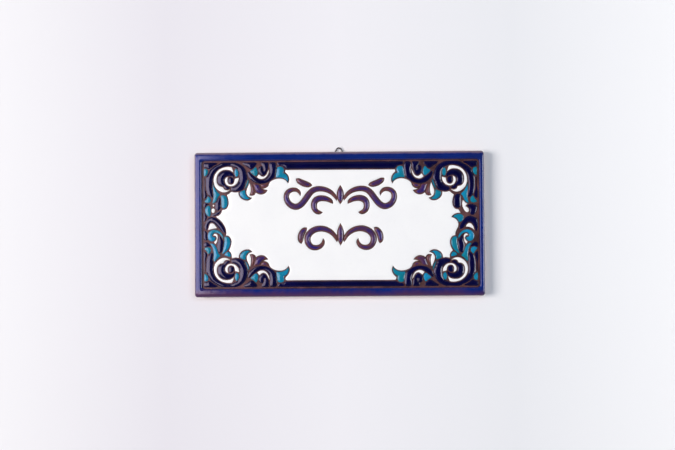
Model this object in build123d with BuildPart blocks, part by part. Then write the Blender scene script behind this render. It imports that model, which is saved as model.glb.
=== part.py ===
from build123d import *
import os
from math import pi, sin, tan, radians

os.makedirs("parts", exist_ok=True)

# Overall plaque, in millimetres. The front faces -Y, +Z is up, and the origin is the hanging point.
plaque_width = 280.0
plaque_height = 140.0
slab_thickness = 7.5
corner_radius = 3.0

# Raised rim of the clay and the blue glaze over it
rim_rise = 2.2
rim_left = 7.2
rim_right = 4.9
rim_top = 8.2
rim_bottom = 8.2
rim_outer_radius = 3.4
rim_inner_radius = 1.2
glaze_skin = 0.6
bare_foot = 3.0

# Bare clay line between the rim and the panel, and the lines between the enamels
frame_line = 2.0
cell_line = 1.1
band_height = 4.6
upper_band_height = 5.8
edge_gap = 0.4
chord_length = 2.5
eye_chord_length = 0.9

# Heights of the enamels above the clay lines
cobalt_depth = 0.9
turquoise_depth = 0.9
white_depth = 0.7
manganese_depth = 0.9

# Flourish strokes in the middle of the panel
flourish_width = 4.2
drop_width = 5.0
stroke_swell = 0.7
ground_swell = 0.4

# Hanger on the back
ring_wire = 1.5
ring_height = 14.0
ring_apex_radius = 2.5
ring_base_radius = 2.5
ring_leg_angle = 60.0
ring_end_gap = 0.4
ring_stand = 5.2
knuckle_clearance = 0.1
strap_thickness = 0.5
strap_width = 9.0
strap_length = 28.0
curl_sweep = 250.0
pad_thickness = 0.8
pad_length = 24.0
pad_inset = 0.5

# Places that follow from the sizes
wire_radius = ring_wire / 2
knuckle_inner = wire_radius + knuckle_clearance
knuckle_outer = knuckle_inner + strap_thickness
apex_z = wire_radius
bar_z = apex_z - ring_height
top_z = apex_z + wire_radius - ring_stand
middle_z = top_z - plaque_height / 2
back_y = -knuckle_outer - pad_thickness
panel_y = back_y - slab_thickness
clay_width = plaque_width - 2 * glaze_skin
clay_height = plaque_height - 2 * glaze_skin
panel_left = -plaque_width / 2 + rim_left + frame_line
panel_right = plaque_width / 2 - rim_right - frame_line
panel_bottom = middle_z - plaque_height / 2 + rim_bottom + frame_line
panel_top = middle_z + plaque_height / 2 - rim_top - frame_line
panel_height = panel_top - panel_bottom
panel_middle_x = (panel_left + panel_right) / 2
panel_middle_z = (panel_bottom + panel_top) / 2

# Drawn by hand, the ornament sags a little at mid height
left_sag = 0.3
right_sag = 1.7
panel_face = Plane(origin=(0, panel_y, 0), x_dir=(1, 0, 0), z_dir=(0, -1, 0))
back_face = Plane(origin=(0, back_y, 0), x_dir=(1, 0, 0), z_dir=(0, -1, 0))
foot_face = back_face.offset(bare_foot)


# A drawn point is (inward from the side of the panel, up from its bottom or down from its top)
def place(point, right=False, upper=False):
    up = drawn_height - point[1] if upper else point[1]
    up -= (right_sag if right else left_sag) * sin(pi * up / drawn_height)
    inward = point[0] * drawing_scale
    x = panel_right - inward if right else panel_left + inward
    return (x, panel_bottom + up * drawing_scale)


# A drawn curve is cut into short straight chords
def chords(curve):
    if len(curve) == 2:
        return curve
    line = Spline(*curve, mode=Mode.PRIVATE)
    length = eye_chord_length if curve[0] == curve[-1] else chord_length
    steps = max(2, round(line.length / length))
    return [line @ (step / steps) for step in range(steps + 1)]


def placed(outlines, right=False, upper=False):
    return [[[place(p, right, upper) for p in curve] for curve in outline] for outline in outlines]


def four_corners(outlines):
    turns = [(False, False), (True, False), (False, True), (True, True)]
    return [outline for right, upper in turns for outline in placed(outlines, right, upper)]


# Corner scrollwork, drawn for the lower left. Each outline is a ring of curves that meet at its tips.
scroll_band = [
    [(8.4, 33.0), (3.9, 28.8), (1.9, 20.5), (2.8, 13.2), (6.8, 6.9), (13, 2.5), (21, 0.5), (29, 0.7),
     (36, 3.6), (40.3, 9.5), (41.2, 16.5), (38.8, 23.3), (33.5, 27.0), (26.4, 26.0)],
    [(26.4, 26.0), (27.0, 23.6)],
    [(27.0, 23.6), (31.6, 22.2), (34.6, 17.5), (34.9, 11), (32.6, 5.9), (28, 2.9), (21, 2.8),
     (14.3, 5.0), (9.6, 10.0), (7.6, 17.5), (7.9, 25.5), (8.4, 33.0)],
]
scroll_crescent = [
    [(25.7, 25.4), (23, 27.4), (19, 28.2), (14.3, 26.2), (10.7, 22.0), (9.6, 16.5), (11.2, 10.6),
     (15, 6.4), (20, 4.2), (27.2, 4.1)],
    [(27.2, 4.1), (28.8, 9.3)],
    [(28.8, 9.3), (25.6, 7.0), (21.5, 6.4), (17, 7.5), (13.4, 11.0), (12.2, 15.5), (12.9, 19.8),
     (15.6, 22.6)],
    [(15.6, 22.6), (18.6, 23.2)],
    [(18.6, 23.2), (20.4, 25.9), (22.8, 26.4), (25.7, 25.4)],
]
scroll_spiral = [
    [(25.0, 24.2), (22.6, 25.3), (20.4, 24.3), (19.4, 22.2)],
    [(19.4, 22.2), (16.2, 21.4), (14.0, 19.2), (13.3, 15.4), (14.6, 11.3), (18, 8.5), (22.2, 7.6),
     (26.2, 8.8), (28.7, 11.8), (29.3, 14.6)],
    [(29.3, 14.6), (27.6, 12.9), (25.6, 12.4), (22.6, 12.2), (20.3, 13.9), (19.4, 17.5), (20.6, 21.0),
     (22.7, 23.0), (25.0, 24.2)],
]
scroll_eye = [
    [(24.5, 14.2), (24.0, 16.4), (24.6, 18.6), (26.5, 19.7), (28.4, 18.6), (28.8, 16.2), (27.2, 14.2),
     (24.5, 14.2)],
]
scroll_hook = [
    [(23.4, 13.4), (21.1, 14.8), (20.6, 18.0), (22.3, 21.0), (26, 22.4), (30.2, 21.2), (33.0, 18.0),
     (33.9, 14.2)],
    [(33.9, 14.2), (30.2, 15.2)],
    [(30.2, 15.2), (29.9, 17.4), (28.8, 19.9), (26.2, 21.0), (23.6, 19.8), (22.8, 17.0), (23.4, 13.4)],
]
scroll_lozenge = [
    [(31.5, 13.0), (33.4, 11.2), (33.4, 8.6), (31.2, 5.4)],
    [(31.2, 5.4), (30.2, 8.6), (30.3, 11.0), (31.5, 13.0)],
]
corner_leaf = [
    [(0.4, 12.9), (2.8, 11.4), (3.9, 8.9), (3.2, 6.6)],
    [(3.2, 6.6), (0.4, 5.4)],
    [(0.4, 5.4), (0.4, 12.9)],
]
corner_wedge = [
    [(edge_gap, edge_gap), (13.0, edge_gap)],
    [(13.0, edge_gap), (8.2, 2.7), (5.0, 5.2)],
    [(5.0, 5.2), (2.8, 4.3), (edge_gap, 4.2)],
    [(edge_gap, 4.2), (edge_gap, edge_gap)],
]
side_sliver = [
    [(edge_gap, 33.6), (2.1, 30.4), (1.3, 26.5), (0.9, 20.0), (edge_gap, 14.0)],
    [(edge_gap, 14.0), (edge_gap, 33.6)],
]
bud = [
    [(0.6, 37.2), (3.4, 38.3), (6.2, 37.0), (6.0, 34.6), (4.0, 32.2)],
    [(4.0, 32.2), (2.6, 35.2), (0.6, 37.2)],
]
big_leaf = [
    [(34.9, 28.2), (35.4, 31.0), (37.4, 33.6), (41.4, 34.8), (45.6, 33.9)],
    [(45.6, 33.9), (42.0, 32.8), (40.4, 30.0), (40.0, 26.2)],
    [(40.0, 26.2), (37.6, 27.3), (34.9, 28.2)],
]
leaf_stem = [
    [(39.8, 24.9), (41.8, 22.6), (43.2, 19.2), (43.3, 16.2)],
    [(43.3, 16.2), (41.9, 19.2), (39.8, 24.9)],
]
left_petal = [
    [(45.0, 30.4), (47.4, 30.6), (48.7, 28.0), (48.0, 24.0), (46.0, 19.8)],
    [(46.0, 19.8), (46.6, 23.6), (46.5, 27.4), (45.0, 30.4)],
]
middle_petal = [
    [(50.3, 27.2), (53.4, 29.3), (57.2, 29.5), (60.9, 26.9)],
    [(60.9, 26.9), (57.4, 26.4), (55.2, 24.6), (54.0, 21.2)],
    [(54.0, 21.2), (48.4, 20.0)],
    [(48.4, 20.0), (49.2, 23.8), (50.3, 27.2)],
]
right_petal = [
    [(55.4, 21.2), (56.6, 23.3), (58.8, 23.8), (61.0, 22.4), (62.4, 19.6)],
    [(62.4, 19.6), (58.8, 20.8), (55.4, 21.2)],
]
small_band = [
    [(43.2, 9.2), (45.9, 14.4), (50.6, 18.0), (56.5, 19.2), (62.8, 17.8), (67.6, 13.4), (69.5, 7.2),
     (69.3, edge_gap)],
    [(69.3, edge_gap), (64.7, edge_gap)],
    [(64.7, edge_gap), (64.8, 5.5), (63.9, 10.8), (61.1, 15.2), (55.8, 16.9), (51.0, 15.4), (47.4, 12.4),
     (43.2, 9.2)],
]
small_crescent = [
    [(51.6, 13.7), (53.8, 15.2), (57.4, 15.5), (60.7, 13.5), (62.7, 10.0), (63.3, 6.4)],
    [(63.3, 6.4), (61.9, 9.4), (60.3, 12.1), (57.6, 13.6), (55.2, 12.6), (53.6, 11.0)],
    [(53.6, 11.0), (51.6, 13.7)],
]
small_spiral = [
    [(54.9, 4.6), (54.5, 8.6), (57.0, 12.5), (59.6, 11.2), (61.1, 6.9), (62.1, edge_gap)],
    [(62.1, edge_gap), (56.4, edge_gap)],
    [(56.4, edge_gap), (59.0, 3.8), (59.7, 7.6), (58.3, 10.0), (56.8, 8.4), (56.2, 4.4)],
    [(56.2, 4.4), (54.9, 4.6)],
]
small_lozenge = [
    [(45.2, 8.0), (47.6, 10.8), (50.3, 12.6)],
    [(50.3, 12.6), (51.8, 10.5), (51.7, 7.4), (50.2, 4.2)],
    [(50.2, 4.2), (47.8, 6.6), (45.2, 8.0)],
]
small_wedge = [
    [(38.4, edge_gap), (50.6, edge_gap)],
    [(50.6, edge_gap), (49.2, 3.2), (46.4, 6.0)],
    [(46.4, 6.0), (43.6, 3.2), (38.4, edge_gap)],
]
fish_tail = [
    [(70.3, 14.1), (75.6, 14.4), (79.2, 15.9), (81.6, 18.7)],
    [(81.6, 18.7), (81.4, 14.2), (78.8, 11.2), (75.2, 10.6)],
    [(75.2, 10.6), (77.2, 8.6), (76.8, 5.2), (74.3, 3.8), (71.8, 4.6)],
    [(71.8, 4.6), (70.3, 14.1)],
]

# Vine up the left side
lower_s_leaf = [
    [(5.8, 42.2), (9.2, 41.0), (11.6, 37.8), (12.8, 34.0), (15.6, 30.3)],
    [(15.6, 30.3), (12.6, 28.0), (10.0, 24.6)],
    [(10.0, 24.6), (9.4, 28.0), (9.6, 32.0), (9.4, 35.8), (8.2, 39.4), (5.8, 42.2)],
]
vine_leaf = [
    [(19.9, 48.4), (23.0, 48.6), (25.2, 45.5), (25.0, 41.5), (22.4, 36.4), (17.6, 32.2)],
    [(17.6, 32.2), (19.2, 36.5), (19.9, 41.0), (20.2, 45.0), (19.9, 48.4)],
]
vine_bud = [
    [(20.2, 31.0), (21.8, 33.2), (23.8, 33.9), (25.4, 32.0), (25.6, 29.4)],
    [(25.6, 29.4), (23.0, 30.0), (20.2, 31.0)],
]
vine_hook = [
    [(11.4, 48.2), (10.4, 45.8), (7.6, 44.6), (4.7, 46.2), (3.8, 50.0), (5.8, 53.8), (10.0, 55.2),
     (14.4, 53.9), (17.4, 50.9), (18.9, 46.2)],
    [(18.9, 46.2), (16.6, 49.6), (13.6, 52.7), (10.4, 53.2), (8.0, 51.4), (7.6, 49.2), (9.2, 48.0),
     (11.4, 48.2)],
]
vine_eye = [
    [(8.8, 50.0), (10.2, 51.9), (12.7, 51.0), (13.1, 47.5), (12.4, 43.8), (11.0, 41.6)],
    [(11.0, 41.6), (9.7, 43.6)],
    [(9.7, 43.6), (11.7, 45.6), (12.2, 48.6), (8.8, 50.0)],
]
vine_blade = [
    [(14.8, 50.0), (17.3, 46.6), (18.4, 42.4), (17.6, 37.6), (15.2, 34.2)],
    [(15.2, 34.2), (13.9, 38.0), (14.0, 42.0), (14.5, 46.0), (14.8, 50.0)],
]
left_arch = [
    [(2.6, 54.8), (1.8, 59.5), (3.4, 64.5), (8.0, 67.1), (13.5, 65.0), (18.2, 60.0), (20.7, 52.2)],
    [(20.7, 52.2), (17.0, 56.6), (13.2, 60.8), (9.4, 63.4), (6.2, 63.2), (4.1, 59.6), (2.6, 54.8)],
]
left_arch_eye = [
    [(4.3, 55.4), (5.2, 60.2), (7.3, 62.1), (9.6, 61.0), (12.4, 57.2)],
    [(12.4, 57.2), (8.8, 56.6), (4.3, 55.4)],
]
left_moon = [
    [(4.2, 79.2), (2.0, 76.6), (1.8, 72.6), (5.4, 68.6)],
    [(5.4, 68.6), (6.2, 72.0), (6.3, 76.0), (4.2, 79.2)],
]
left_moon_eye = [
    [(8.9, 76.4), (7.3, 74.0), (8.9, 71.6), (10.5, 74.0), (8.9, 76.4)],
]
left_pearl = [
    [(9.3, 79.9), (8.3, 78.9), (9.3, 77.9), (10.3, 78.9), (9.3, 79.9)],
]
left_stem = [
    [(7.4, 69.6), (12.2, 69.9), (16.3, 74.0)],
    [(16.3, 74.0), (12.4, 71.8), (7.4, 69.6)],
]
left_blade = [
    [(15.4, 86.2), (16.0, 82.0), (15.6, 78.0), (13.4, 74.0)],
    [(13.4, 74.0), (11.7, 77.0), (12.0, 80.6), (13.4, 83.8), (15.4, 86.2)],
]
upper_side_leaf = [
    [(16.6, 88.4), (19.4, 88.4), (21.6, 86.8), (22.8, 81.6), (21.7, 77.5), (18.8, 76.2)],
    [(18.8, 76.2), (17.2, 79.0), (17.1, 83.0), (16.6, 88.4)],
]
upper_s_leaf = [
    [(8.4, 81.4), (11.0, 83.0), (12.8, 86.4), (15.4, 89.6)],
    [(15.4, 89.6), (12.6, 92.0), (10.4, 95.4), (9.1, 101.0)],
    [(9.1, 101.0), (9.0, 95.4), (9.5, 90.6), (9.7, 86.0), (8.4, 81.4)],
]
low_side_sliver = [
    [(edge_gap, 54.4), (2.3, 53.2), (2.7, 49.6), (3.0, 46.0)],
    [(3.0, 46.0), (edge_gap, 46.6)],
    [(edge_gap, 46.6), (edge_gap, 54.4)],
]
bud_shadow = [
    [(edge_gap, 42.4), (4.4, 41.6), (6.2, 39.6)],
    [(6.2, 39.6), (3.4, 39.9), (edge_gap, 39.4)],
    [(edge_gap, 39.4), (edge_gap, 42.4)],
]
left_upper_shadow = [
    [(edge_gap, 81.4), (3.0, 81.0), (5.6, 80.4)],
    [(5.6, 80.4), (2.8, 79.6), (edge_gap, 76.6)],
    [(edge_gap, 76.6), (edge_gap, 81.4)],
]
left_high_sliver = [
    [(edge_gap, 72.6), (1.2, 70.2), (2.6, 67.6)],
    [(2.6, 67.6), (1.2, 65.8), (edge_gap, 63.4)],
    [(edge_gap, 63.4), (edge_gap, 72.6)],
]

# Upper part of the vine on the right side, which differs from the left
right_arch = [
    [(1.6, 54.2), (0.5, 58.6), (1.2, 64.0), (5.8, 67.6), (10.6, 66.2), (14.0, 62.2), (16.4, 57.0)],
    [(16.4, 57.0), (12.6, 60.4), (9.8, 62.6), (6.6, 63.2), (3.6, 60.0), (1.6, 54.2)],
]
right_arch_eye = [
    [(3.0, 55.0), (4.8, 59.8), (7.0, 61.8), (9.4, 61.0), (11.2, 58.4)],
    [(11.2, 58.4), (7.6, 58.0), (3.0, 55.0)],
]
right_fin = [
    [(13.9, 68.4), (16.6, 70.5), (20.4, 70.1), (24.0, 67.8)],
    [(24.0, 67.8), (20.6, 67.0), (17.8, 63.0)],
    [(17.8, 63.0), (14.6, 64.8), (13.9, 68.4)],
]
right_blot = [
    [(1.2, 77.2), (4.4, 78.6), (9.8, 78.2)],
    [(9.8, 78.2), (7.0, 76.2), (6.6, 72.8), (4.6, 70.0)],
    [(4.6, 70.0), (2.4, 73.2), (1.2, 77.2)],
]
right_drop = [
    [(13.7, 83.8), (14.4, 79.6), (12.8, 74.8), (9.6, 72.0), (7.9, 73.4)],
    [(7.9, 73.4), (8.7, 75.8), (11.4, 77.8)],
    [(11.4, 77.8), (10.8, 79.2), (9.4, 80.1)],
    [(9.4, 80.1), (11.8, 81.6), (13.7, 83.8)],
]

# Inner edge of the white field around the scrollwork, from the bands to the vines
corner_edge = [
    [(79.4, 6.1), (78.9, 8.4), (80.3, 10.0)],
    [(80.3, 10.0), (82.6, 13.2), (83.2, 17.0), (81.7, 20.4)],
    [(81.7, 20.4), (79.0, 17.1), (75.4, 15.7), (70.2, 15.9), (66.2, 17.5), (63.8, 19.8)],
    [(63.8, 19.8), (62.2, 23.2), (59.4, 24.9), (57.4, 25.1)],
    [(57.4, 25.1), (59.6, 25.7), (62.3, 26.2)],
    [(62.3, 26.2), (60.2, 29.0), (57.3, 30.6), (53.4, 30.5), (50.5, 29.0)],
    [(50.5, 29.0), (49.3, 31.1), (47.0, 31.9), (43.9, 31.4)],
    [(43.9, 31.4), (45.3, 27.4), (45.2, 23.2), (44.3, 19.4)],
    [(44.3, 19.4), (42.8, 23.4), (41.6, 27.2), (42.2, 30.8), (44.2, 32.6), (47.0, 33.7)],
    [(47.0, 33.7), (44.4, 36.1), (40.4, 36.4), (36.4, 34.6), (33.9, 31.4), (33.4, 28.2)],
    [(33.4, 28.2), (30.0, 28.6), (27.0, 27.9)],
]
upper_corner_edge = [[(79.4, 7.3), (79.0, 8.7), (80.3, 10.0)]] + corner_edge[1:]
lower_vine_edge = [
    [(27.0, 27.9), (27.0, 31.0), (25.8, 33.8), (24.2, 35.2)],
    [(24.2, 35.2), (26.4, 40.5), (26.6, 45.6), (24.4, 49.3), (21.6, 50.2)],
]
left_vine_edge = [
    [(21.6, 50.2), (21.6, 55.4), (19.2, 61.0), (15.2, 65.6), (11.8, 68.3)],
    [(11.8, 68.3), (15.6, 70.0), (17.4, 72.6), (18.0, 74.8)],
    [(18.0, 74.8), (21.8, 75.7), (24.0, 79.6), (24.0, 84.6), (22.6, 89.0)],
    [(22.6, 89.0), (24.8, 90.4), (27.0, 92.1)],
]
right_vine_edge = [
    [(21.6, 50.2), (20.0, 56.2), (18.5, 60.2), (19.4, 63.8), (22.2, 66.4), (25.4, 67.5)],
    [(25.4, 67.5), (22.0, 70.9), (18.8, 71.8), (16.4, 71.7)],
    [(16.4, 71.7), (17.4, 73.4), (18.2, 74.8)],
    [(18.2, 74.8), (21.8, 75.7), (24.0, 79.6), (24.0, 84.6), (22.6, 89.0)],
    [(22.6, 89.0), (24.8, 90.4), (27.0, 92.1)],
]

# The drawing is as high as the vine's edge and the upper corner's edge together, and grows with the panel
drawn_height = left_vine_edge[-1][-1][1] + corner_edge[-1][-1][1]
drawing_scale = panel_height / drawn_height


def band_outline(upper):
    height = upper_band_height if upper else band_height
    left = [(71.8, edge_gap), (72.6, 2.4), (77.2, 2.8), (79.2, height)]
    left_end = [place(p, False, upper) for p in left]
    right_end = [place(p, True, upper) for p in left]
    return [left_end, [left_end[-1], right_end[-1]], right_end, [left_end[0], right_end[0]]]


def field_edge():
    curves = placed([lower_vine_edge + left_vine_edge])[0]
    curves += placed([lower_vine_edge + right_vine_edge], True)[0]
    for upper, edge in ((False, corner_edge), (True, upper_corner_edge)):
        curves += placed([edge], False, upper)[0] + placed([edge], True, upper)[0]
        curves.append([place(edge[0][0], right, upper) for right in (False, True)])
    return curves


# Flourish of the panel's middle: centre lines right of the middle, in two rows, repeated on the left
flourish_lines = [
    [(4, 23), (13, 33), (26, 33), (34, 24), (43, 17), (51, 22), (51, 31), (43, 33.5), (39.5, 28)],
    [(8, 20), (16, 25), (24, 23), (25, 15), (18, 12)],
    [(28, 38), (35, 39.5), (42, 44)],
    [(4, -17), (12, -6), (24, -5), (32, -13), (28, -22), (19, -21), (17.5, -14.5)],
    [(33, -4), (38, -10), (38, -18)],
]
flourish_drops = [(37, 20), (0, -20)]


# A stroke swells from its tips. Its ground is wider by the reach and runs past the tips by as much.
def stroke(line, reach):
    points = [Vector(*p) for p in line]
    points[0] += (points[0] - points[1]).normalized() * reach
    points[-1] += (points[-1] - points[-2]).normalized() * reach
    centre = Spline(*points, mode=Mode.PRIVATE)
    samples = 3 * (len(line) - 1)
    swell = ground_swell if reach else stroke_swell
    sides = [[], []]
    for step in range(samples + 1):
        share = step / samples
        half = (flourish_width / 2 + reach) * (4 * share * (1 - share)) ** swell
        along = centre % share
        across = Vector(-along.Y, along.X) * half
        sides[0].append(centre @ share + across)
        sides[1].append(centre @ share - across)
    return sides


def drop(high, low, width, reach):
    half, middle = width / 2 + reach, (high + low) / 2
    ends = (0, high + reach), (0, low - reach)
    belly = middle - width / 4
    return [[ends[0], (half, belly), ends[1]], [ends[0], (-half, belly), ends[1]]]


def on_panel(x, z, mirrored):
    x = -x if mirrored else x
    return (panel_middle_x + x * drawing_scale, panel_middle_z + z * drawing_scale)


def flourish(reach):
    outlines = []
    for line in flourish_lines:
        for mirrored in (False, True):
            sides = stroke(line, reach)
            outlines.append([[on_panel(p.X, p.Y, mirrored) for p in side] for side in sides])
    for high, low in flourish_drops:
        sides = drop(high, low, drop_width, reach)
        outlines.append([[on_panel(x, z, False) for x, z in side] for side in sides])
    return outlines


corner_cobalt = [
    scroll_band, scroll_spiral, scroll_eye, corner_wedge, side_sliver,
    small_band, small_spiral, small_wedge,
]
corner_turquoise = [scroll_lozenge, corner_leaf, bud, big_leaf, leaf_stem, small_lozenge, fish_tail]
corner_white = [scroll_crescent, scroll_hook, small_crescent]
corner_manganese = [left_petal, middle_petal, right_petal]
both_vines_turquoise = [lower_s_leaf, vine_leaf, vine_bud, vine_hook, upper_s_leaf]
both_vines_cobalt = [vine_blade, bud_shadow]

cobalt_cells = four_corners(corner_cobalt)
cobalt_cells += placed(both_vines_cobalt) + placed(both_vines_cobalt, True)
cobalt_cells += placed([low_side_sliver, left_arch, left_stem, left_blade])
cobalt_cells += placed([left_upper_shadow, left_high_sliver])
cobalt_cells += placed([right_arch, right_blot, upper_side_leaf], True)
cobalt_cells += [band_outline(upper) for upper in (False, True)]
turquoise_cells = four_corners(corner_turquoise)
turquoise_cells += placed(both_vines_turquoise) + placed(both_vines_turquoise, True)
turquoise_cells += placed([left_moon, upper_side_leaf]) + placed([right_fin], True)
white_cells = four_corners(corner_white) + placed([vine_eye]) + placed([vine_eye], True)
white_cells += placed([left_arch_eye, left_moon_eye, left_pearl])
white_cells += placed([right_arch_eye, right_drop], True)
manganese_cells = four_corners(corner_manganese) + flourish(0)

# Clay slab with its raised rim
with BuildPart() as clay_tile:
    with BuildSketch(back_face):
        with Locations((0, middle_z)):
            RectangleRounded(clay_width, clay_height, corner_radius - glaze_skin)
    extrude(amount=slab_thickness + rim_rise)
    fillet(clay_tile.faces().sort_by(Axis.Y)[0].edges(), rim_outer_radius - glaze_skin)
    with BuildSketch(panel_face):
        with Locations((panel_middle_x, panel_middle_z)):
            Rectangle(
                panel_right - panel_left + 2 * (frame_line + glaze_skin),
                panel_height + 2 * (frame_line + glaze_skin),
            )
    extrude(amount=rim_rise, mode=Mode.SUBTRACT)
clay_tile.part.label = "clay_tile"
export_step(clay_tile.part, "parts/clay_tile.step")

# Blue glaze over the rim and down the sides, short of the back
with BuildPart() as blue_border:
    with BuildSketch(foot_face):
        with Locations((0, middle_z)):
            RectangleRounded(plaque_width, plaque_height, corner_radius)
        with Locations((panel_middle_x, panel_middle_z)):
            Rectangle(
                panel_right - panel_left + 2 * frame_line,
                panel_height + 2 * frame_line,
                mode=Mode.SUBTRACT,
            )
    extrude(amount=slab_thickness + rim_rise + glaze_skin - bare_foot)
    rim_wires = blue_border.faces().sort_by(Axis.Y)[0]
    fillet(rim_wires.outer_wire().edges(), rim_outer_radius)
    window_edges = blue_border.faces().sort_by(Axis.Y)[0].inner_wires()[0].edges()
    fillet(window_edges, rim_inner_radius)
    add(clay_tile.part, mode=Mode.SUBTRACT)
blue_border.part.label = "blue_border"
export_step(blue_border.part, "parts/blue_border.step")

# Coloured enamels, each a group of low cells that lie on the panel between the bare clay lines
enamels = {
    "cobalt_enamel": (cobalt_cells, cobalt_depth),
    "turquoise_enamel": (turquoise_cells, turquoise_depth),
    "white_accents": (white_cells, white_depth),
    "manganese_enamel": (manganese_cells, manganese_depth),
}
for name, (cells, depth) in enamels.items():
    with BuildPart() as enamel:
        for cell in cells:
            with BuildSketch(panel_face):
                with BuildLine():
                    for curve in cell:
                        Polyline(*chords(curve))
                make_face()
        extrude(amount=depth)
    enamel.part.label = name
    export_step(enamel.part, f"parts/{name}.step")

# White field of the panel, open around the flourish
with BuildPart() as white_field:
    with BuildSketch(panel_face):
        with BuildLine():
            for curve in field_edge():
                Polyline(*chords(curve))
        make_face()
        for cell in flourish(cell_line):
            with BuildLine():
                for curve in cell:
                    Polyline(*chords(curve))
            make_face(mode=Mode.SUBTRACT)
    extrude(amount=white_depth)
white_field.part.label = "white_field"
export_step(white_field.part, "parts/white_field.step")

# Wire ring: a rounded triangle whose two ends meet in the strap
leg_lean = tan(radians(90 - ring_leg_angle))
sharp_apex = ring_apex_radius * (1 / sin(radians(90 - ring_leg_angle)) - 1)
half_base = (ring_height + sharp_apex) * leg_lean
with BuildPart() as hanger_ring:
    with BuildLine(Plane.XZ) as ring_path:
        FilletPolyline(
            (ring_end_gap / 2, bar_z),
            (half_base, bar_z),
            (0, apex_z + sharp_apex),
            (-half_base, bar_z),
            (-ring_end_gap / 2, bar_z),
            radius=[ring_base_radius, ring_apex_radius, ring_base_radius],
        )
    with BuildSketch(Plane(ring_path.line @ 0, z_dir=ring_path.line % 0)):
        Circle(wire_radius)
    sweep()
hanger_ring.part.label = "hanger_ring"
export_step(hanger_ring.part, "parts/hanger_ring.step")

# Strap: a strip of sheet steel rolled round the ring's bar
with BuildPart() as hanger_strap:
    with BuildSketch(Plane.YZ):
        with BuildLine():
            outer = CenterArc((0, bar_z), knuckle_outer, 180, -curl_sweep)
            inner = CenterArc((0, bar_z), knuckle_inner, 180, -curl_sweep)
            Line(outer @ 1, inner @ 1)
            Polyline(
                outer @ 0,
                (-knuckle_outer, bar_z - strap_length),
                (-knuckle_inner, bar_z - strap_length),
                inner @ 0,
            )
        make_face()
    extrude(amount=strap_width / 2, both=True)
hanger_strap.part.label = "hanger_strap"
export_step(hanger_strap.part, "parts/hanger_strap.step")

# Bonding pad between the strap and the back of the tile
with BuildPart() as bonding_pad:
    with BuildSketch(back_face):
        with Locations((0, bar_z - strap_length + pad_length / 2 + pad_inset)):
            Rectangle(strap_width, pad_length)
    extrude(amount=-pad_thickness)
bonding_pad.part.label = "bonding_pad"
export_step(bonding_pad.part, "parts/bonding_pad.step")
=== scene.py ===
import bpy
import bmesh
import math
import numpy as np
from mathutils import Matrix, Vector, kdtree, noise
from mathutils.geometry import delaunay_2d_cdt


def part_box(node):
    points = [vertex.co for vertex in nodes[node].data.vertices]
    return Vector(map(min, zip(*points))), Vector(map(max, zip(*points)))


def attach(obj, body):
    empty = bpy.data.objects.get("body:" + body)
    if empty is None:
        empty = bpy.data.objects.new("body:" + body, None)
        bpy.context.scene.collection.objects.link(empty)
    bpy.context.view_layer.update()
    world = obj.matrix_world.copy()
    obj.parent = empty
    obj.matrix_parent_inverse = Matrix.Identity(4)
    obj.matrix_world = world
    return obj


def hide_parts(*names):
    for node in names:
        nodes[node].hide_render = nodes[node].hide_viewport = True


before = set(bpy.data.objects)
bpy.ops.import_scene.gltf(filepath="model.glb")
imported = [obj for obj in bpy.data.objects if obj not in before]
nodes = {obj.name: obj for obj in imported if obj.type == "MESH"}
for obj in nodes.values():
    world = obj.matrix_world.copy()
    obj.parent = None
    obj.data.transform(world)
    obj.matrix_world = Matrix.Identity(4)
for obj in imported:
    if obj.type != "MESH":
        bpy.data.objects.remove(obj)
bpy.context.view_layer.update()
mm = 0.001  # outlines and depths are worked out in millimetres
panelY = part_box("cobalt_enamel")[1].y / mm  # face of the bare clay between the colours
tileLow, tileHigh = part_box("clay_tile")
rimLow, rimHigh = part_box("blue_border")
backY = tileHigh.y / mm
upright = (math.pi / 2, 0, 0)  # turns a flat primitive to face the front
smoothAngle = math.radians(50)
print("frame loaded, panel face at", round(panelY, 3), "mm")


def deselectAll():
    if bpy.context.object and bpy.context.object.mode != "OBJECT":
        bpy.ops.object.mode_set(mode="OBJECT")
    bpy.ops.object.select_all(action="DESELECT")


def smoothPiece(piece):
    deselectAll()
    piece.select_set(True)
    bpy.context.view_layer.objects.active = piece
    bpy.ops.object.shade_smooth_by_angle(angle=smoothAngle)
    print(piece.name, len(piece.data.polygons), "faces")


def finishPiece(piece, body, node):
    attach(piece, body)
    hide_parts(node)


# node helpers: a value is either a number or colour, or the output of another node

def newMaterial(name):
    material = bpy.data.materials.new(name)
    material.use_nodes = True
    tree = material.node_tree
    return material, tree, tree.nodes["Principled BSDF"]


def srgb(r, g, b):
    def linear(v):
        v /= 255
        return v / 12.92 if v <= 0.04045 else ((v + 0.055) / 1.055) ** 2.4
    return (linear(r), linear(g), linear(b), 1)


def setSocket(tree, socket, value):
    if isinstance(value, bpy.types.NodeSocket):
        tree.links.new(value, socket)
    else:
        socket.default_value = value


def addNode(tree, kind, **inputs):
    node = tree.nodes.new(kind)
    for name, value in inputs.items():
        setSocket(tree, node.inputs[name.replace("_", " ")], value)
    return node


def mixColour(tree, factor, first, second):
    node = tree.nodes.new("ShaderNodeMix")
    node.data_type = "RGBA"
    for index, value in ((0, factor), (6, first), (7, second)):  # the colour sockets of the Mix node
        setSocket(tree, node.inputs[index], value)
    return node.outputs[2]


def mapRange(tree, value, low, high, toLow=0.0, toHigh=1.0):
    node = addNode(
        tree, "ShaderNodeMapRange", Value=value, From_Min=low, From_Max=high, To_Min=toLow, To_Max=toHigh)
    return node.outputs["Result"]


def mathNode(tree, operation, *values):
    node = tree.nodes.new("ShaderNodeMath")
    node.operation = operation
    for socket, value in zip(node.inputs, values):
        setSocket(tree, socket, value)
    return node.outputs[0]


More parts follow.
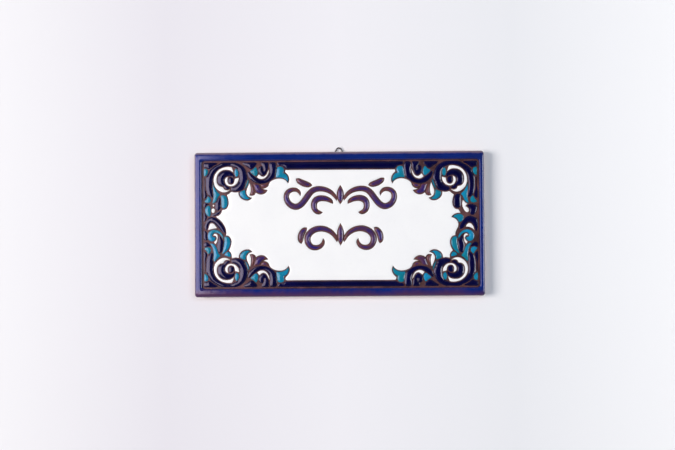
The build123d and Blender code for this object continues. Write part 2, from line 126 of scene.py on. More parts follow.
def attributeOf(tree, name):
    node = tree.nodes.new("ShaderNodeAttribute")
    node.attribute_name = name
    return node.outputs["Fac"]


def axisOf(tree, axis, coords="Object"):
    place = tree.nodes.new("ShaderNodeTexCoord")
    return addNode(tree, "ShaderNodeSeparateXYZ", Vector=place.outputs[coords]).outputs[axis]


def addBump(tree, shader, height, strength, distance):
    bump = addNode(tree, "ShaderNodeBump", Height=height, Strength=strength, Distance=distance)
    tree.links.new(bump.outputs["Normal"], shader.inputs["Normal"])


# drifting tone of a fired surface: slow patches, fine specks and a faint ripple

driftLook = {
    "patchSpan": (0.34, 0.66), "speckSpan": (0.62, 0.76), "rippleSpan": (0.3, 0.7), "rippleScale": 230.0,
}


def makeFiredDrift(look):
    group = bpy.data.node_groups.new("firedDrift", "ShaderNodeTree")
    for way, names in (("INPUT", ("Patch Scale", "Speck Scale")), ("OUTPUT", ("Patch", "Specks", "Ripple"))):
        for name in names:
            group.interface.new_socket(name=name, in_out=way, socket_type="NodeSocketFloat")
    scales = group.nodes.new("NodeGroupInput").outputs
    end = group.nodes.new("NodeGroupOutput")
    place = group.nodes.new("ShaderNodeTexCoord").outputs["Object"]
    patch = addNode(
        group, "ShaderNodeTexNoise", Vector=place, Scale=scales["Patch Scale"],
        Detail=3.0, Roughness=0.55, Distortion=0.4)
    specks = addNode(
        group, "ShaderNodeTexNoise", Vector=place, Scale=scales["Speck Scale"], Detail=2.0, Roughness=0.6)
    ripple = addNode(group, "ShaderNodeTexNoise", Vector=place, Scale=look["rippleScale"], Detail=1.0)
    group.links.new(mapRange(group, patch.outputs["Fac"], *look["patchSpan"]), end.inputs["Patch"])
    group.links.new(mapRange(group, specks.outputs["Fac"], *look["speckSpan"]), end.inputs["Specks"])
    group.links.new(ripple.outputs["Fac"], end.inputs["Ripple"])
    return group


firedDrift = makeFiredDrift(driftLook)


def placeDrift(tree, look):
    node = tree.nodes.new("ShaderNodeGroup")
    node.node_tree = firedDrift
    node.inputs["Patch Scale"].default_value = look["patchScale"]
    node.inputs["Speck Scale"].default_value = look["speckScale"]
    return node.outputs


# all the glazes share their gloss: glassy, with a ripple from the melt

glazeIor = 1.55
rippleDepth = 0.0002


def glossFinish(tree, shader, drift, look):
    rough = mapRange(tree, drift["Ripple"], *driftLook["rippleSpan"], *look["rough"])
    tree.links.new(rough, shader.inputs["Roughness"])
    shader.inputs["IOR"].default_value = glazeIor
    shader.inputs["Specular Tint"].default_value = look["sheen"]
    addBump(tree, shader, drift["Ripple"], look["ripple"], rippleDepth)


# blue rim: a bead of glaze round the tile, which breaks to mauve brown where it runs thin on the outer edges;
# along the bottom a wider, wavering band turns a darker violet, which is painted shade

blueRim = {
    "left": 7.2, "right": 4.9, "top": 8.2, "bottom": 8.2, "cornerRadius": 3.0, "cornerSteps": 8,
    "foot": 3.0, "shoulder": 6.3, "crest": 10.3, "innerShoulder": 8.3, "innerFoot": 7.5,  # from the back
    "crestAt": 0.7, "fullness": 2.5, "sectionSteps": 9, "sideOver": 60.0, "sidePieces": 40,
    "waves": ((0.06, 1.3, 1.0), (0.19, 7.1, 0.5)), "waveHeight": 0.09,  # a wave's scale, slice and share
    "thinTop": (1.0, 3.6), "thinBottom": (0.85, 3.6), "thinLeft": (0.8, 3.0), "thinRight": (0.5, 2.5),
    # the wider, wavering band along the bottom that these entries set is painted shade
    "shadeBand": (0.84, 11.0), "shadeBandWave": 0.4, "shadeBandScale": 0.035, "shadeBandSlice": 4.1,
    "deep": srgb(3, 34, 112), "other": srgb(6, 28, 98), "speck": srgb(24, 44, 110), "speckAmount": 0.3,
    # the darker violet broken colour and its span near the bottom are painted shade
    "thin": srgb(118, 98, 114), "thinShaded": srgb(74, 44, 80), "shadeSpan": (tileLow.z + 0.03, tileLow.z + 0.015),
    "ragged": 0.3, "brokenSpan": (0.3, 0.85), "patchScale": 45.0, "speckScale": 700.0,
    "sheen": (0.96, 0.94, 1.0, 1), "rough": (0.12, 0.2), "ripple": 0.25,
}


def rimMaterial(look):
    material, tree, shader = newMaterial("blueGlaze")
    drift = placeDrift(tree, look)
    body = mixColour(tree, drift["Patch"], look["deep"], look["other"])
    ragged = mathNode(tree, "MULTIPLY_ADD", drift["Ripple"], look["ragged"], attributeOf(tree, "thin"))
    broken = mapRange(tree, ragged, *look["brokenSpan"])
    # the lowest part of the tile takes the darker violet broken colour: painted shade
    bottomShade = mapRange(tree, axisOf(tree, "Z"), *look["shadeSpan"])
    thin = mixColour(tree, bottomShade, look["thin"], look["thinShaded"])
    specks = mathNode(tree, "MULTIPLY", drift["Specks"], look["speckAmount"])
    colour = mixColour(tree, specks, mixColour(tree, broken, body, thin), look["speck"])
    tree.links.new(colour, shader.inputs["Base Color"])
    glossFinish(tree, shader, drift, look)
    return material


def windowAt(share):  # low and high corners of a ring, from the rim's outer edge at 0 to its inner edge at 1
    low = np.array((rimLow.x / mm + share * blueRim["left"], rimLow.z / mm + share * blueRim["bottom"]))
    high = np.array((rimHigh.x / mm - share * blueRim["right"], rimHigh.z / mm - share * blueRim["top"]))
    return low, high


def rimSection(rim):
    angles = [math.pi / 2 * k / rim["sectionSteps"] for k in range(rim["sectionSteps"] + 1)]
    power = 2 / rim["fullness"]
    outerRise, innerRise = rim["crest"] - rim["shoulder"], rim["crest"] - rim["innerShoulder"]
    section = [(0.0, rim["foot"]), (0.0, (rim["foot"] + rim["shoulder"]) / 2)]
    for a in angles:  # outer quarter of the bead
        across = rim["crestAt"] * (1 - math.cos(a) ** power)
        section.append((across, rim["shoulder"] + outerRise * math.sin(a) ** power))
    for a in angles[1:]:  # inner quarter
        across = rim["crestAt"] + (1 - rim["crestAt"]) * math.sin(a)
        section.append((across, rim["innerShoulder"] + innerRise * math.cos(a)))
    section.append((1.0, rim["innerFoot"]))
    return section


def makeBlueRim(rim):
    low, high = windowAt(0.0)
    depth = rim["foot"]
    middle = (low + high) / 2 * mm
    deselectAll()
    bpy.ops.mesh.primitive_plane_add(size=1, location=(0, 0, 0), rotation=upright)
    piece = bpy.context.object
    piece.name = "blueRim"
    piece.scale = (*((high - low) * mm), 1)
    piece.location = (middle[0], (backY - depth) * mm, middle[1])
    bpy.ops.object.transform_apply(location=True, rotation=True, scale=True)
    bpy.ops.object.mode_set(mode="EDIT")
    bpy.ops.mesh.select_all(action="SELECT")
    bpy.ops.mesh.bevel(offset=rim["cornerRadius"] * mm, segments=rim["cornerSteps"], affect="VERTICES")
    bpy.ops.mesh.delete(type="ONLY_FACE")
    bpy.ops.mesh.select_all(action="SELECT")
    for across, nextDepth in rimSection(rim)[1:]:  # ring by ring over the bead
        nextLow, nextHigh = windowAt(across)
        move = (nextLow + nextHigh - low - high) / 2 * mm
        grow = (nextHigh - nextLow) / (high - low)
        middle = (nextLow + nextHigh) / 2 * mm
        bpy.ops.mesh.extrude_edges_move(
            TRANSFORM_OT_translate={"value": (move[0], (depth - nextDepth) * mm, move[1])})
        bpy.ops.transform.resize(
            value=(grow[0], 1, grow[1]), center_override=(middle[0], (backY - nextDepth) * mm, middle[1]))
        low, high, depth = nextLow, nextHigh, nextDepth
    bpy.ops.object.mode_set(mode="OBJECT")
    closeUnder(piece, rim)
    meltRim(piece, rim)
    piece.data.materials.append(rimMaterial(rim))
    smoothPiece(piece)
    return piece


def closeUnder(piece, rim):
    shape = bmesh.new()
    shape.from_mesh(piece.data)
    sides = [e for e in shape.edges if e.calc_length() > rim["sideOver"] * mm]
    bmesh.ops.subdivide_edges(shape, edges=sides, cuts=rim["sidePieces"], use_grid_fill=True)
    bmesh.ops.bridge_loops(shape, edges=[e for e in shape.edges if e.is_boundary])
    bmesh.ops.recalc_face_normals(shape, faces=shape.faces)
    shape.to_mesh(piece.data)
    shape.free()


def thinAndShadeAt(x, z, rim):
    low, high = windowAt(0.0)
    # the wander and the last edge below make a wider band along the bottom: painted shade
    wander = rim["shadeBandWave"] * noise.noise((x * rim["shadeBandScale"], rim["shadeBandSlice"], 0))
    edges = (
        (high[1] - z, *rim["thinTop"]), (z - low[1], *rim["thinBottom"]),
        (x - low[0], *rim["thinLeft"]), (high[0] - x, *rim["thinRight"]),
        (z - low[1], rim["shadeBand"][0] + wander, rim["shadeBand"][1]),
    )
    return max(0, *(start - gap / reach for gap, start, reach in edges))


def meltRim(piece, rim):
    thin = np.zeros(len(piece.data.vertices), np.float32)
    for i, v in enumerate(piece.data.vertices):
        x, y, z = v.co / mm
        thin[i] = thinAndShadeAt(x, z, rim)
        if backY - y > rim["shoulder"]:
            wave = sum(share * noise.noise((x * scale, cut, z * scale)) for scale, cut, share in rim["waves"])
            v.co.y -= rim["waveHeight"] * wave * mm
    piece.data.attributes.new("thin", "FLOAT", "POINT").data.foreach_set("value", thin)


# enamel cells: the solids' outlines are read back, rounded between their tips and filled with a pooled melt

mergeGap = 1e-6  # metres
frontFacing = -0.9  # a top face's normal along Y
straightTurn = 1e-4
weldGap = 1e-7
rowShare = 0.866  # rows of a grid of even triangles
insideBatch = 1500


def cellLoops(node):
    shape = bmesh.new()
    shape.from_mesh(nodes[node].data)
    bmesh.ops.remove_doubles(shape, verts=shape.verts, dist=mergeGap)
    tops = [face for face in shape.faces if face.normal.y < frontFacing]
    isTop = set(tops)
    follow = {}
    for face in tops:
        for corner in face.loops:
            if sum(other in isTop for other in corner.edge.link_faces) == 1:
                follow[corner.vert] = corner.link_loop_next.vert
    loops = []
    while follow:
        first, point = follow.popitem()
        loop = [first.co]
        while point != first:
            loop.append(point.co)
            point = follow.pop(point)
        loops.append(np.array([(co.x / mm, co.z / mm) for co in loop]))
    shape.free()
    return loops


def straightened(loop):
    ahead = np.roll(loop, -1, 0) - loop
    behind = loop - np.roll(loop, 1, 0)
    turn = np.abs(ahead[:, 0] * behind[:, 1] - ahead[:, 1] * behind[:, 0])
    spans = np.linalg.norm(ahead, axis=1) * np.linalg.norm(behind, axis=1)
    return loop[turn > straightTurn * spans]  # drops points that lie on a straight run


def curveBetween(start, end, leave, arrive, count):
    t = np.arange(count)[:, None] / count
    return (
        (2 * t**3 - 3 * t**2 + 1) * start + (t**3 - 2 * t**2 + t) * leave
        + (3 * t**2 - 2 * t**3) * end + (t**3 - t**2) * arrive
    )


def roundedLoop(loop, cell):
    loop = straightened(loop)
    ahead = np.roll(loop, -1, 0) - loop
    aheadLong = np.linalg.norm(ahead, axis=1)
    ahead = ahead / aheadLong[:, None]
    behind, behindLong = np.roll(ahead, 1, 0), np.roll(aheadLong, 1)
    isLong = aheadLong > cell["straightOver"]
    wasLong = np.roll(isLong, 1)
    turn = np.degrees(np.arccos(np.clip(np.einsum("ij,ij->i", ahead, behind), -1, 1)))
    isTip = turn > np.where(isLong | wasLong, cell["straightTip"], cell["tipAngle"])
    slope = (ahead * behindLong[:, None] + behind * aheadLong[:, None]) / (aheadLong + behindLong)[:, None]
    slope[isLong] = ahead[isLong]
    slope[wasLong & ~isLong] = behind[wasLong & ~isLong]
    runs = []
    for i in range(len(loop)):
        j = (i + 1) % len(loop)
        chord, long = loop[j] - loop[i], aheadLong[i]
        leave, arrive = slope[i] * long, slope[j] * long
        if isLong[i] or (isTip[i] and isTip[j]):
            leave = arrive = chord
        elif isTip[i]:  # a run is free to bend towards its tip
            leave = 1.5 * chord - 0.5 * arrive
        elif isTip[j]:
            arrive = 1.5 * chord - 0.5 * leave
        runs.append(curveBetween(loop[i], loop[j], leave, arrive, max(1, round(long / cell["step"]))))
    return np.concatenate(runs)


def treeOf(points):
    tree = kdtree.KDTree(len(points))
    for i, (x, z) in enumerate(points):
        tree.insert((x, z, 0), i)
    tree.balance()
    return tree


def grownLoop(loop, room, cell):
    grow = np.clip(room, cell["least"], cell["most"])
    for _ in range(cell["growthPasses"]):  # evens the growth out along the edge
        grow = np.minimum(grow, (np.roll(grow, 1) + grow + np.roll(grow, -1)) / 3)
    grow = np.maximum(grow, cell["least"])
    along = np.roll(loop, -1, 0) - np.roll(loop, 1, 0)
    along /= np.linalg.norm(along, axis=1)[:, None]
    moved = loop + grow[:, None] * np.column_stack((along[:, 1], -along[:, 0]))
    gaps = np.linalg.norm(moved[:, None] - loop[None], axis=2).min(1)
    moved = moved[gaps > cell["foldShare"] * grow]  # drops what folds over itself in a notch
    for _ in range(cell["edgePasses"]):  # the melted edge runs smooth between its tips
        ahead, behind = np.roll(moved, -1, 0) - moved, moved - np.roll(moved, 1, 0)
        aheadLong, behindLong = np.linalg.norm(ahead, axis=1), np.linalg.norm(behind, axis=1)
        bend = np.einsum("ij,ij->i", ahead, behind) / (aheadLong * behindLong)
        isNear = np.maximum(aheadLong, behindLong) < cell["easeUnder"]
        ease = np.where((bend > cell["tipBend"]) & isNear, cell["ease"], 0.0)
        moved = moved + ease[:, None] * (ahead - behind)
    return moved


def roomAround(loop, tree, line):
    return np.array([tree.find((x, z, 0))[2] for x, z in loop]) - line


def panelRoom(loop, line):
    low, high = windowAt(1.0)
    return np.minimum(loop - low, high - loop).min(1) - line


def spreadLoops(name, drawn):
    cell, own = enamels[name], drawn[name]
    others = [loop for other in drawn if other not in (name, "whiteField") for loop in drawn[other]]
    others, field = treeOf(np.concatenate(others)), treeOf(np.concatenate(drawn["whiteField"]))
    spread = []
    for i, loop in enumerate(own):
        room = roomAround(loop, others, cell["otherLine"])
        if name != "whiteField":
            rest = treeOf(np.concatenate(own[:i] + own[i + 1:]))
            room = np.minimum(room, roomAround(loop, field, cell["fieldLine"]))
            room = np.minimum(room, roomAround(loop, rest, cell["line"]) / 2)  # both sides spread
            room = np.minimum(room, panelRoom(loop, cell["frameLine"]))
        spread.append(grownLoop(loop, room, cell))
    return spread


def gridInside(loops, cell):
    edge = treeOf(np.concatenate(loops))
    step, coarse = cell["grid"], cell["coarse"]
    lows = np.min([loop.min(0) for loop in loops], 0)
    highs = np.max([loop.max(0) for loop in loops], 0)
    starts = np.concatenate(loops)
    ends = np.concatenate([np.roll(loop, -1, 0) for loop in loops])
    found = []
    for row in range(1, int((highs[1] - lows[1]) / (step * rowShare)) + 1):
        z = lows[1] + row * step * rowShare
        crosses = (starts[:, 1] > z) != (ends[:, 1] > z)
        a, b = starts[crosses], ends[crosses]
        cuts = np.sort(a[:, 0] + (z - a[:, 1]) / (b[:, 1] - a[:, 1]) * (b[:, 0] - a[:, 0]))
        line = np.arange(lows[0] + (row % 2) * step / 2, highs[0], step)
        for column in np.nonzero(np.searchsorted(cuts, line) % 2)[0]:
            x = line[column]
            gap = edge.find((x, z, 0))[2]
            isSpare = gap > cell["nearEdge"] and (row % coarse or column % coarse)
            if gap >= cell["edgeShare"] * step and not isSpare:
                found.append((x, z))
    return found


def isInside(loops, points):
    starts = np.concatenate(loops)
    ends = np.concatenate([np.roll(loop, -1, 0) for loop in loops])
    rise = np.where(ends[:, 1] == starts[:, 1], 1, ends[:, 1] - starts[:, 1])
    inside = []
    for part in np.array_split(points, max(1, len(points) // insideBatch)):
        x, z = part[:, :1], part[:, 1:]
        crosses = (starts[:, 1] > z) != (ends[:, 1] > z)
        at = starts[:, 0] + (z - starts[:, 1]) / rise * (ends[:, 0] - starts[:, 0])
        inside.append((crosses & (at > x)).sum(1) % 2 == 1)
    return np.concatenate(inside)


def filledCells(loops, inner):
    points = [Vector(p) for loop in loops for p in loop] + [Vector(p) for p in inner]
    edges, start = [], 0
    for loop in loops:
        edges += [(start + i, start + (i + 1) % len(loop)) for i in range(len(loop))]
        start += len(loop)
    made = delaunay_2d_cdt(points, edges, [], 1, weldGap)
    points = np.array([tuple(p) for p in made[0]])
    faces = np.array(made[2])
    faces = faces[isInside(loops, points[faces].mean(1))]
    return points, [tuple(int(i) for i in face) for face in faces]


def pooledHeights(points, faces, rimPoints, cell):
    pairs = {tuple(sorted((f[i], f[i - 1]))) for f in faces for i in range(len(f))}
    pairs = np.array(sorted(pairs))
    spans = np.linalg.norm(points[pairs[:, 0]] - points[pairs[:, 1]], axis=1)
    count, area = np.zeros(len(points)), np.zeros(len(points))
    for side in (0, 1):
        np.add.at(count, pairs[:, side], 1)
        np.add.at(area, pairs[:, side], spans**2)
    count = np.maximum(count, 1)
    pull = area / count / (4 * cell["reach"] ** 2)
    height = np.zeros(len(points))
    for _ in range(cell["poolPasses"]):  # the melt rises from its rim and levels off
        total = np.bincount(pairs[:, 0], height[pairs[:, 1]], len(points))
        total += np.bincount(pairs[:, 1], height[pairs[:, 0]], len(points))
        height = (total / count + pull) / (1 + pull)
        height[rimPoints] = 0
    return height


def rimOf(faces):
    ways = {(f[i - 1], f[i]) for f in faces for i in range(len(f))}
    return [way for way in ways if way[::-1] not in ways]


def pooledPiece(name, cell, loops):
    points, faces = filledCells(loops, gridInside(loops, cell))
    rim = rimOf(faces)
    rimPoints = sorted({i for way in rim for i in way})
    pool = pooledHeights(points, faces, rimPoints, cell)
    verts = []
    for (x, z), share in zip(points, pool):
        wave = noise.noise((x * cell["waveScale"], cell["waveSlice"], z * cell["waveScale"]))
        high = cell["rimHeight"] + (cell["crown"] + cell["wave"] * wave) * share
        verts.append((x * mm, (panelY - high) * mm, z * mm))
    under = {i: len(verts) + k for k, i in enumerate(rimPoints)}
    verts += [(points[i][0] * mm, panelY * mm, points[i][1] * mm) for i in rimPoints]
    skirts = [(a, under[a], under[b], b) for a, b in rim]
    basePoints, baseFaces = filledCells(loops, [])
    near = treeOf(points[rimPoints])
    baseOf = [under[rimPoints[near.find((x, z, 0))[1]]] for x, z in basePoints]
    floor = [tuple(baseOf[i] for i in reversed(f)) for f in baseFaces]
    mesh = bpy.data.meshes.new(name)
    mesh.from_pydata(verts, [], faces + skirts + floor)
    mesh.validate()
    values = np.zeros(len(mesh.vertices), np.float32)
    values[: len(pool)] = pool
    mesh.attributes.new("pool", "FLOAT", "POINT").data.foreach_set("value", values)
    mesh.materials.append(enamelMaterial(name + "Glaze", cell))
    piece = bpy.data.objects.new(name, mesh)
    bpy.context.scene.collection.objects.link(piece)
    smoothPiece(piece)
    return piece


# an enamel is deep where it pools and thin, with the clay showing, at its rim

def enamelMaterial(name, look):
    material, tree, shader = newMaterial(name)
    drift = placeDrift(tree, look)
    body = mixColour(tree, drift["Patch"], look["deep"], look["other"])
    covered = mapRange(tree, attributeOf(tree, "pool"), *look["rimSpan"])
    colour = mixColour(tree, covered, look["rim"], body)
    specks = mathNode(tree, "MULTIPLY", drift["Specks"], look["speckAmount"])
    tree.links.new(mixColour(tree, specks, colour, look["speck"]), shader.inputs["Base Color"])
    glossFinish(tree, shader, drift, look)
    return material


# lengths in millimetres; each enamel below starts from these and says what it changes
cellShape = {
    "step": 0.45, "tipAngle": 62, "straightTip": 25, "straightOver": 3.4,  # rounding of the outline
    "line": 0.8, "otherLine": 1.0, "fieldLine": 1.25, "frameLine": 1.5,  # bare clay left beside a cell
    "least": 0.1, "most": 1.4, "growthPasses": 8, "foldShare": 0.9,  # how far the melt spreads
    "edgePasses": 4, "tipBend": 0.45, "ease": 0.25, "easeUnder": 1.5,
    "grid": 0.55, "edgeShare": 0.45, "coarse": 1, "nearEdge": 1000,  # points inside the cell
    "reach": 2.2, "poolPasses": 260, "rimHeight": 0.3, "crown": 2.0,  # pooled surface
    "wave": 0.1, "waveScale": 0.22, "waveSlice": 3.7,
}
cobaltCells = {
    **cellShape, "node": "cobalt_enamel", "slot": "cobalt_glaze",
    "deep": srgb(2, 2, 46), "other": srgb(5, 5, 58), "rim": srgb(34, 18, 34), "rimSpan": (0.0, 0.05),
    "speck": srgb(24, 22, 66), "speckAmount": 0.35, "patchScale": 60.0, "speckScale": 700.0,
    "sheen": (0.96, 0.92, 1.0, 1), "rough": (0.09, 0.16), "ripple": 0.25,
}
turquoiseLeaves = {
    **cellShape, "node": "turquoise_enamel", "slot": "turquoise_glaze", "most": 0.5,
    "deep": srgb(6, 116, 138), "other": srgb(14, 131, 178), "rim": srgb(34, 62, 64), "rimSpan": (0.0, 0.06),
    "speck": srgb(6, 92, 118), "speckAmount": 0.3, "patchScale": 55.0, "speckScale": 650.0,
    "sheen": (1, 1, 1, 1), "rough": (0.09, 0.16), "ripple": 0.25,
}
whiteCells = {
    **cellShape, "node": "white_accents", "slot": "white_glaze", "least": 0.0, "most": 0.05,
    "deep": srgb(242, 241, 243), "other": srgb(239, 238, 241),
    "rim": srgb(206, 196, 190), "rimSpan": (0.0, 0.04),
    "speck": srgb(228, 226, 226), "speckAmount": 0.2, "patchScale": 30.0, "speckScale": 420.0,
    "sheen": (1, 1, 1, 1), "rough": (0.11, 0.18), "ripple": 0.2,
}
whiteField = {  # the same white over a wide, nearly flat pool
    **whiteCells, "node": "white_field", "least": 0.1, "most": 0.12, "coarse": 6, "nearEdge": 4.5,
    "reach": 0.9, "crown": 0.42, "wave": 0.04, "waveScale": 0.08,
}
manganeseStrokes = {
    **cellShape, "node": "manganese_enamel", "slot": "manganese_glaze", "least": 0.2, "most": 0.3,
    "fieldLine": 0.75, "crown": 3.8, "wave": 0.25, "waveScale": 0.3,
    "deep": srgb(38, 28, 104), "other": srgb(78, 46, 70), "rim": srgb(104, 62, 58), "rimSpan": (0.09, 0.21),
    "speck": srgb(112, 76, 78), "speckAmount": 0.3, "patchScale": 120.0, "speckScale": 800.0,
    "sheen": (0.95, 0.9, 1.0, 1), "rough": (0.12, 0.19), "ripple": 0.3,
}
enamels = {
    "cobaltCells": cobaltCells, "turquoiseLeaves": turquoiseLeaves, "whiteCells": whiteCells,
    "whiteField": whiteField, "manganeseStrokes": manganeseStrokes,
}


def fillEnamels():
    drawn = {}
    for name, cell in enamels.items():
        drawn[name] = [roundedLoop(loop, cell) for loop in cellLoops(cell["node"])]
    for name, cell in enamels.items():
        piece = pooledPiece(name, cell, spreadLoops(name, drawn))
        finishPiece(piece, "plaque", cell["node"])


fillEnamels()
finishPiece(makeBlueRim(blueRim), "plaque", "blue_border")


# clay, hanger and resin keep their solids and get their own finishes

clayTile = {  # dark oxide lines on the face, terracotta on the sides and back
    "line": srgb(86, 50, 52), "lineDark": srgb(52, 25, 29), "lineWarm": srgb(118, 73, 65),
    "body": srgb(176, 112, 84), "bodyPale": srgb(190, 132, 104), "bodyDark": srgb(163, 99, 73),
    "faceSpan": ((panelY + 1.6) * mm, (panelY + 0.4) * mm), "patchScale": 90.0, "speckScale": 900.0,
    "rough": (0.38, 0.58), "grain": 0.35, "grainScale": 1600.0, "grainDepth": 0.00015,
}
hangerSteel = {
    "bright": srgb(170, 170, 174), "dull": srgb(136, 135, 138), "metallic": 1.0, "rough": (0.28, 0.53),
    "patchScale": 400.0, "speckScale": 2500.0,
}
bondingResin = {
    "bright": srgb(206, 202, 190), "dull": srgb(178, 172, 158), "metallic": 0.0, "rough": (0.5, 0.7),
    "patchScale": 300.0, "speckScale": 1800.0,
}


def clayMaterial(look):
    material, tree, shader = newMaterial("firedClay")
    drift = placeDrift(tree, look)
    onFace = mapRange(tree, axisOf(tree, "Y"), *look["faceSpan"])
    line = mixColour(tree, drift["Patch"], look["lineDark"], look["line"])
    line = mixColour(tree, drift["Specks"], line, look["lineWarm"])
    body = mixColour(tree, drift["Patch"], look["bodyDark"], look["body"])
    body = mixColour(tree, drift["Specks"], body, look["bodyPale"])
    tree.links.new(mixColour(tree, onFace, body, line), shader.inputs["Base Color"])
    rough = mapRange(tree, drift["Ripple"], *driftLook["rippleSpan"], *look["rough"])
    tree.links.new(rough, shader.inputs["Roughness"])
    place = tree.nodes.new("ShaderNodeTexCoord").outputs["Object"]
    grain = addNode(
        tree, "ShaderNodeTexNoise", Vector=place, Scale=look["grainScale"], Detail=3.0, Roughness=0.6)
    addBump(tree, shader, grain.outputs["Fac"], look["grain"], look["grainDepth"])
    return material


def mottledMaterial(name, look):
    material, tree, shader = newMaterial(name)
    drift = placeDrift(tree, look)
    tree.links.new(mixColour(tree, drift["Patch"], look["dull"], look["bright"]), shader.inputs["Base Color"])
    shader.inputs["Metallic"].default_value = look["metallic"]
    tree.links.new(mapRange(tree, drift["Specks"], 0, 1, *look["rough"]), shader.inputs["Roughness"])
    return material


def dress(material, *names):
    for name in names:
        shown = nodes[name].data.materials
        shown.clear()
        shown.append(material)


dress(clayMaterial(clayTile), "clay_tile")
dress(mottledMaterial("hangerSteel", hangerSteel), "hanger_ring", "hanger_strap")
dress(mottledMaterial("bondingResin", bondingResin), "bonding_pad")
print("solids dressed")


# wall behind the plaque: seen from the front, open from behind; its colour carries painted light and shade,
# darkest just left of the plaque and palest at the far right

paleWall = {
    "size": 6.0, "cuts": 8, "y": 0.0016, "clear": 0.02, "span": (-0.34, 0.34), "rough": 0.9,
    # painted light and shade across the wall, from its left to its right
    "paintedLightTones": (
        (0.0, srgb(233, 232, 237)), (0.25, srgb(223, 220, 228)), (0.5, srgb(233, 231, 237)),
        (0.75, srgb(231, 231, 236)), (1.0, srgb(250, 249, 252)),
    ),
}


def wallMaterial(look):
    material, tree, shader = newMaterial("paleWallPaintedLight")
    # the colour follows the wall's width: painted light and shade
    ramp = addNode(tree, "ShaderNodeValToRGB", Fac=mapRange(tree, axisOf(tree, "X"), *look["span"]))
    stops = ramp.color_ramp.elements
    for place, tone in look["paintedLightTones"][1:-1]:
        stops.new(place)
    for stop, (place, tone) in zip(stops, look["paintedLightTones"]):
        stop.position, stop.color = place, tone
    tree.links.new(ramp.outputs["Color"], shader.inputs["Base Color"])
    shader.inputs["Roughness"].default_value = look["rough"]
    shader.inputs["Specular IOR Level"].default_value = 0.0
    path = tree.nodes.new("ShaderNodeLightPath").outputs
    behind = tree.nodes.new("ShaderNodeNewGeometry").outputs["Backfacing"]
    isFar = mathNode(tree, "GREATER_THAN", path["Ray Length"], look["clear"])  # close metal mirrors past it
    mirrored = mathNode(tree, "MULTIPLY", path["Is Glossy Ray"], isFar)
    seen = mathNode(tree, "MAXIMUM", path["Is Camera Ray"], mirrored)
    seen = mathNode(tree, "MAXIMUM", seen, path["Is Transmission Ray"])
    front = mathNode(tree, "MULTIPLY", seen, mathNode(tree, "SUBTRACT", 1.0, behind))
    opening = tree.nodes.new("ShaderNodeBsdfTransparent")
    mix = tree.nodes.new("ShaderNodeMixShader")
    for socket, value in zip(mix.inputs, (front, opening.outputs[0], shader.outputs[0])):
        tree.links.new(value, socket)
    tree.links.new(mix.outputs[0], tree.nodes["Material Output"].inputs["Surface"])
    return material


def pinWall(look):
    deselectAll()
    bpy.ops.mesh.primitive_grid_add(
        x_subdivisions=look["cuts"], y_subdivisions=look["cuts"], size=look["size"], rotation=upright)
    wall = bpy.context.object
    wall.name = "paleWall"
    wall.location = (0, look["y"], 0)
    bpy.ops.object.transform_apply(location=True, rotation=True, scale=True)
    wall.data.materials.append(wallMaterial(look))


pinWall(paleWall)


# light: a soft key from the left and a bluish fill from the front; what the glazes mirror is set apart from
# what lights the wall, as with gridded and flagged lamps in a studio

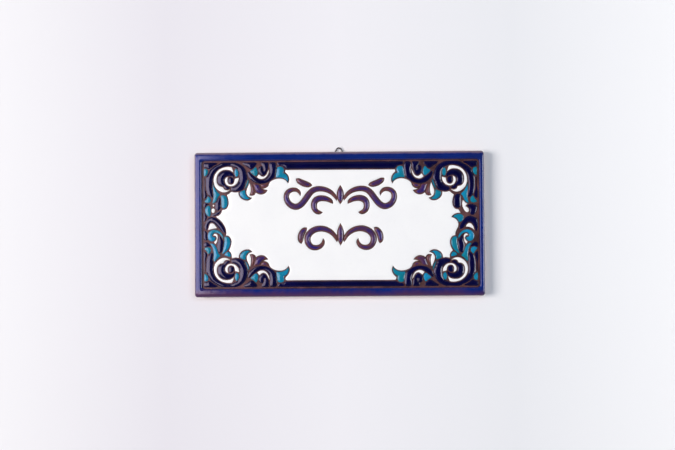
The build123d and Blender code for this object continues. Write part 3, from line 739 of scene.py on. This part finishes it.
lamps = {
    "keyLeft": {
        "at": (-2.3, -2.4, -0.03), "aimX": 0.0, "size": (1.5, 1.2), "power": 98.5, "spread": 180,
        "colour": (1.0, 0.93, 0.86), "mirrored": False, "lights": True,
    },
    "fillFront": {
        "at": (0.4, -1.9, 0.12), "aimX": 0.0, "size": (1.5, 1.2), "power": 18.2, "spread": 180,
        "colour": (0.8, 0.9, 0.97), "mirrored": False, "lights": True,
    },
    "sheenLeft": {
        "at": (-0.42, -0.35, -0.07), "aimX": -0.42, "size": (0.5, 0.5), "power": 1.2, "spread": 100,
        "colour": (1.0, 0.88, 0.98), "mirrored": True, "lights": False,
    },
    "sheenFarLeft": {
        "at": (-0.68, -0.3, -0.07), "aimX": 0.0, "size": (0.75, 0.5), "power": 4.2, "spread": 180,
        "colour": (1.0, 0.88, 0.98), "mirrored": True, "lights": False,
    },
    "sheenRight": {
        "at": (0.62, -0.22, -0.07), "aimX": 0.0, "size": (0.3, 0.5), "power": 3.2, "spread": 180,
        "colour": (0.96, 0.98, 1.0), "mirrored": True, "lights": False,
    },
}
room = {  # dim in front, so that the dark glazes keep their depth
    "front": (0.012, 0.012, 0.014, 1), "side": (0.42, 0.44, 0.48, 1), "back": (1.08, 1.12, 1.16, 1),
    "frontSpan": (-1.0, 0.0), "backSpan": (0.0, 0.5), "seen": (0.9, 0.89, 0.92, 1),
}


def hangLamps():
    for name, lamp in lamps.items():
        bpy.ops.object.light_add(type="AREA", location=lamp["at"])
        light = bpy.context.object
        light.name = name
        light.data.shape = "RECTANGLE"
        light.data.size, light.data.size_y = lamp["size"]
        light.data.energy = lamp["power"]
        light.data.color = lamp["colour"]
        light.data.spread = math.radians(lamp["spread"])
        light.visible_glossy, light.visible_diffuse = lamp["mirrored"], lamp["lights"]
        aim = Vector((lamp["aimX"], panelY * mm, (rimHigh.z + rimLow.z) / 2))
        light.rotation_euler = (aim - light.location).to_track_quat("-Z", "Y").to_euler()


def paintRoom(look):
    world = bpy.data.worlds.new("room")
    bpy.context.scene.world = world
    world.use_nodes = True
    tree = world.node_tree
    along = axisOf(tree, "Y", "Generated")
    glow = mixColour(tree, mapRange(tree, along, *look["frontSpan"]), look["front"], look["side"])
    glow = mixColour(tree, mapRange(tree, along, *look["backSpan"]), glow, look["back"])
    isSeen = tree.nodes.new("ShaderNodeLightPath").outputs["Is Camera Ray"]
    backdrop = tree.nodes["Background"]
    tree.links.new(mixColour(tree, isSeen, glow, look["seen"]), backdrop.inputs["Color"])
    backdrop.inputs["Strength"].default_value = 1.0


hangLamps()
paintRoom(room)

shot = {"at": (0.01335, -1.09526, -0.10277), "turn": (91.4851, 0.4029, 0.8077), "lens": 60, "sensor": 36}
bpy.ops.object.camera_add(location=shot["at"], rotation=[math.radians(a) for a in shot["turn"]])
camera = bpy.context.object
camera.data.lens, camera.data.sensor_width = shot["lens"], shot["sensor"]
bpy.context.scene.camera = camera
bpy.context.scene.view_settings.view_transform = "Standard"
print("camera, light and wall in place")
